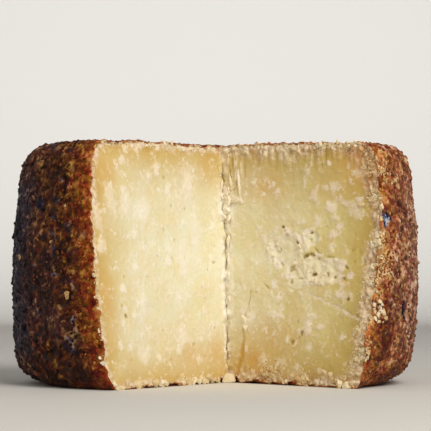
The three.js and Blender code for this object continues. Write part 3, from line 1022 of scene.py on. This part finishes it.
def cut_face(form, facing, marks):
    """A cut face from its smooth form: relief moves it along its normal towards the notch, in slow knife
    waves, soft curds, crumbs along base, top and rind, a patch creased where it broke, nicks, pinholes, a
    seam, a scratch, upright flutes, and flakes with a thin groove at the meeting line. Gives the points and
    the face's maps."""
    line, rim = form[:, :1], form[:, -1:]
    a = np.linalg.norm((form - line)[..., :2], axis=-1)
    reach = np.linalg.norm((rim - line)[..., :2], axis=-1)
    h = form[..., 2]
    from_rim = reach - a
    from_rind = np.minimum(from_rim, np.minimum(HEIGHT - h, h))
    way = (rim - line)[..., :2] / reach[..., None]
    normal = facing * np.stack([-way[..., 1], way[..., 0]], axis=-1)
    upright = form * (1.0, 1.0, 0.8)
    deep = marks["deep"]

    ragged_a = a + layered(form, (1.5, 5.0, 221), (0.9, 2.0, 226))
    ragged_h = h + layered(form, (1.5, 5.0, 231), (0.9, 2.0, 236))
    near, owned = pebbles(shaken(form, 0.9, 2.2, 261), CHUNK_PITCH, 141)
    chunks = (0.2 + owned) * (1.0 - smoothstep(near, 0.1, 0.8))

    torn = marks["torn"]
    ragged = layered(form, (3.2, 10.0, 151), (1.5, 3.0, 156))
    deeper = 0.9 * smoothstep(h, *RIM_WIDENS) + 0.4 * clumps(form, 24.0, 158)
    rim_reach = torn["rim"] * (1.0 + deep * deeper)
    fringe = 1.0 - smoothstep(h + ragged, 0.3 * torn["base"], torn["base"])
    fringe = np.maximum(fringe, 1.0 - smoothstep(from_rim + ragged, 0.3 * rim_reach, rim_reach))
    fringe = np.maximum(fringe, 1.0 - smoothstep(HEIGHT - h + ragged, 0.2 * torn["top"], torn["top"]))
    by_line = 1.0 - smoothstep(a + 2.0 * clumps(form * (1.0, 1.0, 0.4), 5.0, 171), *BY_LINE)
    dashes = spots(0.0 * a, h + 2.0 * clumps(form * (0.0, 0.0, 1.0), 4.0, 176), MEETING_CRACK)
    groove = np.exp(-((a / (0.65 + 0.4 * clumps(form, 3.0, 174))) ** 2)) * np.minimum(1.0, dashes)

    broken = np.zeros_like(a)
    for place, height, half_width, half_height in marks["broken"]:
        oval = np.hypot((ragged_a - place) / half_width, (ragged_h - height) / half_height)
        broken = np.maximum(broken, 1.0 - smoothstep(oval + 0.35 * clumps(form, 8.0, 181), 0.75, 1.1))
    broken_edge = 4.0 * broken * (1.0 - broken)
    creased = np.abs(clumps(form, 9.0, 271)) + 0.5 * np.abs(clumps(form, 4.0, 273))
    near_a = a + layered(form, (0.5, 2.6, 186), (0.4, 1.3, 187))
    near_h = h + layered(form, (0.5, 2.6, 196), (0.4, 1.3, 197))
    nicks = nicked(near_a, near_h, marks["nicks"])
    seam_width = 2.0 - 1.3 * smoothstep(h, *SEAM_NARROWS) + 0.8 * clumps(form, 3.0, 191)
    seam = grooves(near_a, near_h, marks["seams"], seam_width)
    stained = seam * (1.0 - 0.85 * smoothstep(h, *STAIN_CLEARS))
    scratched = grooves(near_a, near_h, marks["scratches"], SCRATCH_HALF_WIDTH)
    pin_near, pin_owned = pebbles(form, PINHOLE_PITCH, 201)
    pinned = smoothstep(pin_owned, 0.8, 0.84) * (1.0 - smoothstep(pin_near, 0.04, 0.12))

    fluted = spots(ragged_a, ragged_h, marks["fluted"])
    flutes = clumps(form * (1.0, 1.0, 0.14), 2.4, 291) + 0.5 * clumps(form * (1.0, 1.0, 0.25), 1.3, 294)
    pale = spots(ragged_a, ragged_h, marks["pale"])
    depth = layered(form, (0.7, 27.0, 101), (0.3, 10.0, 111), (0.08, 1.6, 131))
    depth += 0.12 * clumps(upright, 2.8, 121) + 0.3 * pale
    depth += fringe * (0.8 + 0.9 * deep) * (chunks - 0.3)
    depth += broken * (1.7 * creased - 0.85) + 0.6 * broken_edge * chunks
    depth += by_line * (1.1 * clumps(upright, 2.4, 211) + 0.9 * clumps(form, 3.8, 213))
    depth += 0.9 * fluted * flutes
    depth -= 1.05 * nicks + 0.4 * seam + 0.3 * scratched + 0.6 * pinned
    fade = smoothstep(np.minimum(from_rind, 1.5 * a), 0.0, 1.2)
    points = form.copy()
    points[..., :2] += (fade * depth)[..., None] * normal
    points[..., 1] += 1.3 * groove

    flakes = by_line * smoothstep(clumps(form, 5.0, 281), -0.3, 0.1)
    # Flute ridges are painted lighter and flute furrows darker: painted highlight and painted shade.
    ridges = fluted * smoothstep(flutes, 0.05, 0.45)
    furrows = fluted * smoothstep(-flutes, 0.15, 0.6)
    inwards = np.maximum(0.0, from_rind - 1.0 + 2.5 * clumps(form, 12.0, 241))
    # The pale map takes pale marks and the painted highlight on flute ridges; the hollow map takes painted
    # shade in nicks, pinholes, the meeting-line groove, the seam and flute furrows.
    light = pale + 1.5 * scratched + (0.5 + 0.5 * deep) * flakes + 0.6 * broken_edge + 1.1 * ridges
    shaded = 1.1 * nicks + 0.7 * pinned + 0.95 * groove + 0.35 * seam + 0.55 * furrows
    maps = {
        "by_rind": np.exp(-((inwards / BY_RIND) ** 1.4)),
        "edge": np.exp(-inwards / BY_EDGE),
        "pale": np.clip(light, 0.0, 1.5),
        "warm": np.clip(spots(ragged_a, ragged_h, marks["warm"]) + 1.5 * stained, 0.0, 1.6),
        "hollow": np.clip(shaded, 0.0, 1.0),
        "fringe": fringe,
        "lump": owned,
        "broken": broken,
        # Deeper, darker yellow on the right face, kept paler near the meeting line as painted light bounced
        # from the left face, and a little darker towards the top as painted shade.
        "deep": deep * np.minimum(1.0, a / DEEP_FROM_LINE) * (0.88 + 0.12 * smoothstep(h, 40.0, 95.0)),
    }
    return points, maps


left_face, left_maps = cut_face(face_form("left"), 1.0, LEFT_MARKS)
right_face, right_maps = cut_face(face_form("right"), -1.0, RIGHT_MARKS)
paste_skin = skin(paste_side, paste_edges, HIDDEN_RINGS, *inner_levels)
hidden = [np.zeros(grid.shape[:2]) for grid, turned in paste_skin]
paste_layers = [[left_maps[name], right_maps[name]] + hidden for name in left_maps]
paste_grids = [(left_face, True), (right_face, False)] + paste_skin
paste_points, paste_triangles, paste_values = weld(paste_grids, *paste_layers)


def paste_material():
    """Pale dry cheese: cream on the left face, deeper yellow on the right one with painted bounced light near
    the meeting line and painted shade towards its top, golden towards the rind, with pale crumbly curds all
    over, warm stains, edges of pale and tan lumps, painted highlight on flute ridges, and painted olive shade
    in its nicks, pinholes, seam, flute furrows and the groove where the faces meet."""
    material, tree, shader = new_material("paste")
    place = add(tree, "TexCoord").outputs["Object"]
    maps = {name: measured(tree, name) for name in left_maps}
    curds = soft_noise(tree, place, 420.0, 3.0)
    grain = soft_noise(tree, place, 1000.0, 3.0)

    def by_face(pale, deep):
        """A colour for the pale face mixed into one for the deep face by the map of depth."""
        return mixed(tree, maps["deep"], tint(*pale), tint(*deep))

    def covered(colour, cover, share, strength):
        """A colour with another laid over it, by a share from 0 to 1 times a strength."""
        return mixed(tree, reckoned(tree, "MULTIPLY", share, strength), colour, cover)

    slow = ranged(tree, soft_noise(tree, place, 45.0, 4.0), 0.35, 0.65)
    colour = mixed(
        tree, slow, by_face((238, 235, 207), (228, 210, 137)), by_face((233, 225, 180), (219, 196, 111)),
    )
    rosy = ranged(tree, soft_noise(tree, place, 90.0, 3.0), 0.45, 0.65, 0.0, 0.4)
    colour = mixed(tree, rosy, colour, by_face((240, 224, 190), (224, 190, 134)))
    colour = covered(colour, by_face((207, 172, 86), (179, 150, 65)), maps["by_rind"], 0.9)
    colour = covered(colour, by_face((190, 145, 70), (166, 125, 58)), maps["edge"], 0.6)
    colour = covered(colour, tint(214, 168, 90), maps["warm"], 0.6)
    colour = covered(colour, tint(240, 231, 197), maps["broken"], 0.75)
    lump = ranged(tree, weighed(tree, (maps["lump"], 0.5), (curds, 1.2)), 0.55, 1.0)
    dull = by_face((204, 168, 122), (180, 140, 94))
    bright = by_face((242, 226, 198), (226, 200, 170))
    colour = covered(colour, mixed(tree, lump, dull, bright), maps["fringe"], 0.9)
    stain = reckoned(tree, "MULTIPLY", maps["fringe"], maps["warm"])
    colour = covered(colour, tint(202, 140, 76), stain, 0.55)

    tanned = by_face((238, 212, 168), (228, 202, 164))
    paler = covered(by_face((247, 240, 222), (246, 228, 208)), tanned, maps["by_rind"], 0.7)
    blots = soft_noise(tree, place, 140.0, 5.0, 0.65)
    flecks = weighed(
        tree, (blots, 0.5), (curds, 0.5), (maps["pale"], 0.1), (maps["by_rind"], -0.05),
        (maps["deep"], -0.03),
    )
    flecks = ranged(tree, flecks, 0.47, 0.63)
    colour = covered(colour, paler, flecks, 0.45)
    spot = weighed(tree, (maps["pale"], 1.0), (curds, 0.8))
    colour = mixed(tree, ranged(tree, spot, 0.6, 1.25, 0.0, 0.55), colour, paler)
    blob = 0.0
    for scale, least, share, strength in ((190.0, 0.1, 0.6, 0.95), (420.0, 0.0, 0.65, 0.75)):
        distance, own = cell_noise(tree, bent_place(tree, place, 0.005), scale)
        kept = reckoned(tree, "LESS_THAN", own, reckoned(tree, "MULTIPLY_ADD", flecks, share, least))
        ragged = weighed(tree, (distance, 1.0), (curds, 0.5))
        curd = reckoned(tree, "MULTIPLY", kept, ranged(tree, ragged, 0.88, 0.45))
        colour = covered(colour, paler, curd, strength)
        blob = reckoned(tree, "MAXIMUM", curd, blob)
    colour = mixed(tree, ranged(tree, grain, 0.35, 0.5, 0.1, 0.0), colour, tint(190, 162, 104))
    # Painted olive shade in the hollows, darkest where deepest.
    shade = ramp(tree, maps["hollow"], {0.5: (182, 150, 38), 0.8: (142, 112, 14), 1.0: (84, 60, 8)})
    plug(tree, shader, {
        "Base Color": covered(colour, shade, maps["hollow"], 0.9),
        "Roughness": ranged(tree, curds, 0.3, 0.7, 0.5, 0.72),
        "Normal": bumped(tree, weighed(tree, (curds, 1.0), (blob, 0.6), (grain, 0.3)), 0.35, 0.0008),
        "Specular IOR Level": 0.3,
        "Subsurface Weight": 0.1,
        "Subsurface Radius": (1.0, 0.7, 0.3),
        "Subsurface Scale": 0.002,
    })
    return material


paste = mesh_piece(
    "paste", paste_points, paste_triangles, paste_material(), True, **dict(zip(left_maps, paste_values)),
)
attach(paste, "root")
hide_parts("cheese")

# Crumbs
# Small broken lumps and flakes of the paste, with scraps of rind among them, which still cling along the
# edges of the cuts: thickest at the foot, along the right rim and where the faces meet. Some lie on the rind.

# Each band: face, edge, reach from it, share along it, ball subdivisions, number, half sizes, tones
CRUMB_BANDS = (
    ("left", "rim", 2.5, (0.0, 1.0), 2, 64, (0.4, 1.6), (0.45, 0.85)),
    ("left", "rim", 4.5, (0.0, 1.0), 1, 330, (0.2, 0.7), (0.45, 0.85)),
    ("left", "base", 3.5, (0.09, 1.0), 2, 110, (0.5, 2.8), (0.4, 0.85)),
    ("left", "base", 6.0, (0.09, 1.0), 1, 300, (0.2, 0.8), (0.4, 0.9)),
    ("left", "base", 1.5, (0.42, 0.52), 2, 14, (0.6, 1.6), (0.0, 0.3)),
    ("left", "base", 4.0, (0.62, 1.0), 2, 30, (0.8, 2.6), (0.5, 1.0)),
    ("left", "top", 2.5, (0.03, 1.0), 2, 70, (0.4, 1.4), (0.5, 1.0)),
    ("left", "top", 4.0, (0.03, 1.0), 1, 500, (0.2, 0.7), (0.45, 1.0)),
    ("right", "rim", 7.0, (0.0, 0.75), 2, 100, (0.5, 1.9), (0.45, 0.85)),
    ("right", "rim", 12.0, (0.7, 1.0), 2, 40, (0.5, 2.0), (0.25, 0.8)),
    ("right", "rim", 11.0, (0.0, 1.0), 1, 800, (0.2, 0.7), (0.4, 0.95)),
    ("right", "rim", 8.0, (0.04, 0.42), 1, 260, (0.3, 0.9), (0.65, 1.0)),
    ("right", "base", 10.0, (0.13, 1.0), 2, 225, (0.5, 2.6), (0.22, 0.72)),
    ("right", "base", 6.0, (0.8, 0.985), 2, 55, (0.9, 2.6), (0.45, 0.9)),
    ("right", "base", 13.0, (0.13, 1.0), 1, 560, (0.2, 0.8), (0.2, 0.72)),
    ("right", "top", 6.0, (0.03, 1.0), 2, 100, (0.4, 1.6), (0.55, 0.95)),
    ("right", "top", 10.0, (0.03, 1.0), 1, 760, (0.2, 0.7), (0.5, 0.95)),
    ("right", "top", 18.0, (0.84, 1.0), 1, 240, (0.3, 0.9), (0.15, 0.6)),
    ("right", "line", 4.0, (0.03, 0.97), 1, 250, (0.2, 0.7), (0.8, 1.0)),
    ("right", "line", 4.5, (0.67, 0.84), 2, 34, (0.5, 2.0), (0.8, 1.0)),
    ("left", "line", 3.0, (0.68, 0.8), 2, 14, (0.5, 1.6), (0.8, 1.0)),
    ("left", "line", 2.5, (0.03, 0.97), 1, 150, (0.2, 0.6), (0.8, 1.0)),
)
# Flakes that stand on a face: face, map, its least value there, ball subdivisions, number, half sizes, tones
FLAKES = (
    ("right", "broken", 0.5, 2, 80, (0.4, 1.6), (0.7, 1.0)),
    ("right", "broken", 0.4, 1, 300, (0.2, 0.6), (0.7, 1.0)),
    ("right", "pale", 0.45, 1, 550, (0.2, 0.55), (0.6, 0.9)),
    ("left", "pale", 0.6, 1, 300, (0.15, 0.4), (0.8, 1.0)),
)
# Each chip on the rind: angle, height, half length, half width, half thickness and tone
CHIPS = np.array([
    (-43.2, 46.0, 2.2, 1.4, 0.9, 0.3), (-44.6, 88.0, 0.9, 0.7, 0.4, 0.45), (-50.5, 71.0, 1.3, 0.8, 0.5, 0.4),
    (-68.7, 63.0, 2.0, 1.6, 0.9, 0.35), (-33.8, 55.0, 0.9, 1.2, 0.7, 0.6),
    (-31.3, 13.5, 1.6, 1.1, 0.8, 0.9), (-32.0, 15.8, 0.9, 0.7, 0.6, 0.85),
    (50.8, 38.8, 2.6, 1.8, 1.0, 0.9), (51.6, 37.6, 1.6, 2.2, 0.9, 0.85), (48.4, 40.6, 1.6, 1.2, 0.8, 0.7),
    (48.8, 33.8, 2.2, 1.2, 0.9, 0.85), (52.6, 36.0, 2.4, 1.2, 0.8, 0.6), (53.4, 34.4, 1.4, 1.4, 0.7, 0.4),
    (50.0, 42.6, 1.0, 1.6, 0.7, 0.75), (49.4, 36.0, 1.0, 1.4, 0.7, 0.8), (51.0, 40.6, 1.2, 1.0, 0.7, 0.9),
    (49.6, 70.0, 1.4, 1.6, 0.7, 0.7), (52.6, 88.0, 1.8, 1.4, 0.7, 0.7), (54.0, 74.5, 1.8, 2.2, 0.6, 0.15),
])
CHIP_GROWTH = 1.2
# Each flake where the faces meet: face, place, height, half length, half width, half thickness, turn, tone
LINE_FLAKES = (
    ("right", 2.6, 98.5, 3.6, 1.5, 0.9, 4, 0.95), ("right", 3.0, 92.5, 3.2, 2.2, 1.0, -10, 0.95),
    ("right", 2.6, 87.5, 3.4, 1.9, 1.0, -14, 1.0), ("right", 4.2, 83.6, 1.8, 1.4, 0.8, -20, 0.95),
    ("right", 7.6, 93.4, 2.0, 2.8, 0.8, 10, 0.85), ("right", 10.8, 103.5, 4.6, 0.9, 0.7, -4, 0.9),
    ("right", 11.2, 98.0, 2.6, 0.8, 0.6, 8, 0.9), ("right", 13.0, 91.4, 1.0, 2.0, 0.6, -25, 0.85),
    ("right", 5.4, 103.0, 3.4, 0.8, 0.6, 6, 0.85), ("right", 3.4, 72.0, 2.6, 0.9, 0.7, 0, 1.0),
    ("right", 3.2, 63.0, 3.0, 0.8, 0.6, 3, 1.0), ("right", 3.0, 54.0, 2.4, 0.8, 0.6, -3, 0.95),
    ("right", 3.4, 42.0, 2.2, 0.9, 0.6, 0, 0.95), ("left", 1.6, 101.0, 2.6, 1.2, 0.7, 0, 0.9),
    ("left", 1.4, 91.0, 2.8, 1.2, 0.7, 0, 0.95), ("right", 13.2, 33.0, 3.4, 1.4, 0.7, 12, 0.85),
    ("right", 14.6, 28.6, 1.8, 1.2, 0.6, 0, 0.85),
)
LINE_FLAKE_GROWTH = 1.3
LINE_FLAKE_LIFT = 0.3
LINE_FLAKE_UNEVENNESS = 0.16
FOOT_CHIP = (7.7, -5.6, 2.3)
FOOT_CHIP_SIZE = (3.1, 1.6, 2.4)
FOOT_CHIP_TAPER = 0.13
FOOT_CHIP_TONE = 0.72
FACE_WAY = {"left": (-0.61, -0.79, 0.0), "right": (0.76, -0.65, 0.0)}
FACE_OUT = {"left": (0.79, -0.61, 0.0), "right": (-0.65, -0.76, 0.0)}
# How far crumbs reach past the rim and the top edge, from inside to outside
PAST_RIM = {"left": (-0.6, 0.8), "right": (-0.6, 1.2)}
PAST_TOP = (-0.6, 0.8)
CRUMB_PLANES = 6
# Crumbs that have strayed onto the rind beside the right cut: their number, heights, reach and tones
STRAY_CRUMBS = 420
STRAY_HEIGHTS = (12.0, 116.0)
STRAY_REACH = 13.0
STRAY_TONES = (0.0, 0.7)
# Places are chosen from three times as many.
CHOICE = 3
draw = np.random.default_rng(29)


def clustered(places, number):
    """A number of the places given: those where a noise, made uneven at random, is highest."""
    drawn_up = clumps(places, 10.0, 301) + 0.3 * draw.uniform(-1.0, 1.0, len(places))
    return places[np.argsort(-drawn_up)[:number]]


def edge_places(face, edge, reach, along, number):
    """Random places on a cut face within reach of one of its edges, thickest at the edge, and in clusters
    where a noise is high."""
    rows, columns = face.shape[0] - 1, face.shape[1] - 1
    near = reach * draw.beta(1.0, 2.0, CHOICE * number)
    along = draw.uniform(*along, CHOICE * number)
    width = np.linalg.norm((face[rows // 2, -1] - face[rows // 2, 0])[:2])
    up, out = {
        "rim": (along, 1.0 - near / width),
        "line": (along, near / width),
        "base": (near / HEIGHT, along),
        "top": (1.0 - near / HEIGHT, along),
    }[edge]
    return clustered(face[np.round(up * rows).astype(int), np.round(out * columns).astype(int)], number)


def flake_places(face, values, least, number):
    """Random places on a cut face where one of its maps is above the least value, in clusters too."""
    rows, columns = np.nonzero(values > least)
    chosen = draw.integers(len(rows), size=CHOICE * number)
    return clustered(face[rows[chosen], columns[chosen]], number)


def lump_sizes(radius):
    """Three half sizes for each lump, longest first and flattest last: its radius times random shares."""
    return radius[:, None] * draw.uniform((0.9, 0.8, 0.5), (1.6, 1.3, 0.9), (len(radius), 3))


def lumps_at(places, outward, sizes, detail, unevenness=0.22, planes=CRUMB_PLANES):
    """Lumps of the paste at places, flat against the surface behind them and turned at random."""
    upwards = np.repeat(UPWARDS, len(places), axis=0)
    axes = spun(upwards, outward, draw.uniform(0.0, np.pi, len(places)))
    return scattered(ball(detail), places, axes, sizes, unevenness, planes, draw)


def crumbs_on(name, places, detail, radius, tone):
    """Crumbs at places of a face: more small than large, uneven, sunk into it, each with its own tone."""
    number = len(places)
    outward = np.tile(FACE_OUT[name], (number, 1))
    radius = radius[0] + (radius[1] - radius[0]) * draw.beta(0.8, 2.4, number)
    sizes = lump_sizes(radius)
    places = places + outward * (radius * draw.uniform(-0.5, 0.2, number))[:, None]
    return (*lumps_at(places, outward, sizes, detail), draw.uniform(*tone, number))


def share_up(height):
    """Share of the side line's length at a height."""
    return np.interp(height, side_line[:, 1], side_run)


faces = {"left": (left_face, left_maps), "right": (right_face, right_maps)}
crumb_parts = []
for name, edge, reach, along, detail, number, radius, tone in CRUMB_BANDS:
    places = edge_places(faces[name][0], edge, reach, along, number)
    if edge == "rim":
        places = places + draw.uniform(*PAST_RIM[name], (number, 1)) * FACE_WAY[name]
    if edge == "top":
        places = places + draw.uniform(*PAST_TOP, (number, 1)) * UPWARDS
    crumb_parts.append(crumbs_on(name, places, detail, radius, tone))
for name, chosen_map, least, detail, number, radius, tone in FLAKES:
    places = flake_places(faces[name][0], faces[name][1][chosen_map], least, number)
    crumb_parts.append(crumbs_on(name, places, detail, radius, tone))

stray_height = draw.uniform(*STRAY_HEIGHTS, CHOICE * STRAY_CRUMBS)
stray_angle = cut_angles(stray_height, CUT_JAG)[0]
stray_angle = stray_angle + STRAY_REACH / TOP_RADIUS * draw.beta(1.0, 2.2, CHOICE * STRAY_CRUMBS)
stray_places, stray_out = on_rind(stray_angle, share_up(stray_height))
stray_rank = clumps(stray_places, 12.0, 305) + 0.2 * draw.uniform(-1.0, 1.0, CHOICE * STRAY_CRUMBS)
stray = np.argsort(2.0 * patch_map(stray_places, MOULD_SPOTS[0], 1.2, 1.8) - stray_rank)[:STRAY_CRUMBS]
stray_sizes = lump_sizes(draw.uniform(0.3, 1.0, STRAY_CRUMBS))
stray_lumps = lumps_at(stray_places[stray], stray_out[stray], stray_sizes, 1)
crumb_parts.append((*stray_lumps, draw.uniform(*STRAY_TONES, STRAY_CRUMBS)))

# Each chip is sunk into the rind by more than a quarter of its thickness.
chip_places, chip_out = on_rind(np.radians(CHIPS[:, 0]), share_up(CHIPS[:, 1]), 0.5 * CHIPS[:, 4])
chip_lumps = lumps_at(chip_places, chip_out, CHIP_GROWTH * CHIPS[:, 2:5], 2, unevenness=0.35, planes=7)
crumb_parts.append((*chip_lumps, CHIPS[:, 5]))
for name, place, height, half_length, half_width, half_thickness, turn, tone in LINE_FLAKES:
    face = faces[name][0]
    row = round(height / HEIGHT * PASTE_UP)
    column = np.argmin(np.abs(np.linalg.norm((face[row] - face[row, 0])[:, :2], axis=-1) - place))
    outward = np.array([FACE_OUT[name]])
    axes = spun(UPWARDS, outward, np.radians([turn]))
    sizes = LINE_FLAKE_GROWTH * np.array([[half_length, half_width, half_thickness]])
    middle = face[row, column] + LINE_FLAKE_LIFT * outward
    flake = scattered(ball(3), middle, axes, sizes, LINE_FLAKE_UNEVENNESS, CRUMB_PLANES, draw)
    crumb_parts.append((*flake, np.array([tone])))

# The chip at the foot of the meeting line: a ball squared off by the root of its points, wider at its foot
foot_points, foot_triangles = ball(3)
foot_points = np.sign(foot_points) * np.sqrt(np.abs(foot_points)) * FOOT_CHIP_SIZE
foot_points[:, 0] *= 1.0 - FOOT_CHIP_TAPER * foot_points[:, 2]
foot_points = shaken(foot_points + FOOT_CHIP, 0.35, 2.5, 311)
foot_points[:, 2] = np.maximum(foot_points[:, 2], 0.0)
crumb_parts.append((foot_points, foot_triangles, np.array([FOOT_CHIP_TONE])))

part_points, part_triangles, part_tones = zip(*crumb_parts)
part_counts = [len(points) for points in part_points]
part_starts = np.cumsum([0] + part_counts)
crumb_points = np.vstack(part_points)
crumb_triangles = np.vstack([triangles + start for triangles, start in zip(part_triangles, part_starts)])
crumb_tones = [np.repeat(tones, count // len(tones)) for tones, count in zip(part_tones, part_counts)]


def crumb_material():
    """Crumbs from rind brown over golden to creamy white, each with a little unevenness of its own."""
    material, tree, shader = new_material("crumbs")
    grain = soft_noise(tree, add(tree, "TexCoord").outputs["Object"], 1400.0, 3.0)
    value = reckoned(tree, "ADD", measured(tree, "tone"), ranged(tree, grain, 0.3, 0.7, -0.12, 0.12))
    colour = ramp(tree, value, {
        0.0: (126, 64, 30), 0.25: (188, 138, 82), 0.45: (212, 183, 128),
        0.7: (231, 212, 168), 1.0: (245, 234, 212),
    })
    plug(tree, shader, {
        "Base Color": colour,
        "Roughness": ranged(tree, grain, 0.3, 0.7, 0.55, 0.8),
        "Normal": bumped(tree, grain, 0.5, 0.0004),
        "Specular IOR Level": 0.3,
    })
    return material


crumbs = mesh_piece(
    "crumbs", crumb_points, crumb_triangles, crumb_material(), False, tone=np.concatenate(crumb_tones),
)
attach(crumbs, "root")
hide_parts("cheese")

# Studio
# A pale seamless floor that rises all round, a large soft light from the front right, a weak fill, a light
# on the backdrop, and a camera low in front of the notch with a long lens.
FLOOR_RADIUS = 1.3
COVE_RADIUS = 2.0
WALL_HEIGHT = 2.6

turn = np.linspace(0.0, 2.0 * np.pi, 129)[None, :]
cove = np.linspace(0.0, 0.5 * np.pi, 25)
wall_radius = FLOOR_RADIUS + COVE_RADIUS
reach = np.concatenate([[0.0], FLOOR_RADIUS + COVE_RADIUS * np.sin(cove), [wall_radius]])[:, None]
rise = np.concatenate([[0.0], COVE_RADIUS * (1.0 - np.cos(cove)), [WALL_HEIGHT]])[:, None]
floor_grid = np.stack([reach * np.sin(turn), -reach * np.cos(turn), rise + 0.0 * turn], axis=-1)
floor_grid[:, -1] = floor_grid[:, 0]
floor_points, floor_triangles = weld([(floor_grid / MM - AXIS, True)])[:2]
floor_material, tree, shader = new_material("floor")
plug(tree, shader, {"Base Color": tint(216, 212, 205), "Roughness": 0.8})
floor = mesh_piece("floor", floor_points, floor_triangles, floor_material, True)

LIGHTS_AIM = 0.06


def soft_light(name, turn, height_angle, distance, size, power, colour):
    """A square area light that faces the cheese from an angle round the axis and an angle above the floor."""
    light = bpy.data.lights.new(name, "AREA")
    light.shape = "SQUARE"
    light.size = size
    light.energy = power
    light.color = colour
    lamp = bpy.data.objects.new(name, light)
    turn, height_angle = np.radians(turn), np.radians(height_angle)
    away = distance * np.cos(height_angle)
    height = LIGHTS_AIM + distance * np.sin(height_angle)
    lamp.location = (away * np.sin(turn), -away * np.cos(turn), height)
    lamp.rotation_euler = (0.5 * np.pi - height_angle, 0.0, turn)
    lamp.visible_camera = False
    bpy.context.scene.collection.objects.link(lamp)
    return lamp


soft_light(
    "key", turn=30.0, height_angle=38.0, distance=1.6, size=0.8, power=19.6, colour=(1.0, 0.97, 0.93),
)
soft_light(
    "fill", turn=-25.0, height_angle=28.0, distance=2.0, size=1.4, power=4.5, colour=(1.0, 0.98, 0.95),
)
backdrop = soft_light(
    "backdrop", turn=180.0, height_angle=50.0, distance=1.9, size=1.6, power=36.0, colour=(0.95, 0.97, 1.0),
)
backdrop.rotation_euler = (0.5 * np.pi, 0.0, 0.0)

world = bpy.data.worlds.new("studio")
world.use_nodes = True
sky = {"Color": (0.96, 0.98, 1.0, 1.0), "Strength": 0.25}
plug(world.node_tree, world.node_tree.nodes["Background"], sky)
bpy.context.scene.world = world

FRAME_PIXELS = 431
FOCAL_PIXELS = 2182.4
HORIZON_ROW = 275.3
AXIS_COLUMN = 213.9
CAMERA_AWAY = 1119.3
CAMERA_HEIGHT = 54.7
SENSOR_WIDTH = 36.0
view = bpy.data.cameras.new("camera")
view.sensor_width = SENSOR_WIDTH
view.lens = FOCAL_PIXELS * SENSOR_WIDTH / FRAME_PIXELS
camera = bpy.data.objects.new("camera", view)
camera.location = (AXIS + (0.0, -CAMERA_AWAY, CAMERA_HEIGHT)) * MM
tilt = np.arctan((HORIZON_ROW - FRAME_PIXELS / 2) / FOCAL_PIXELS)
swing = np.arctan((FRAME_PIXELS / 2 - AXIS_COLUMN) / FOCAL_PIXELS)
camera.rotation_euler = (0.5 * np.pi + tilt, 0.0, -swing)
bpy.context.scene.collection.objects.link(camera)
bpy.context.scene.camera = camera
bpy.context.scene.view_settings.view_transform = "Standard"
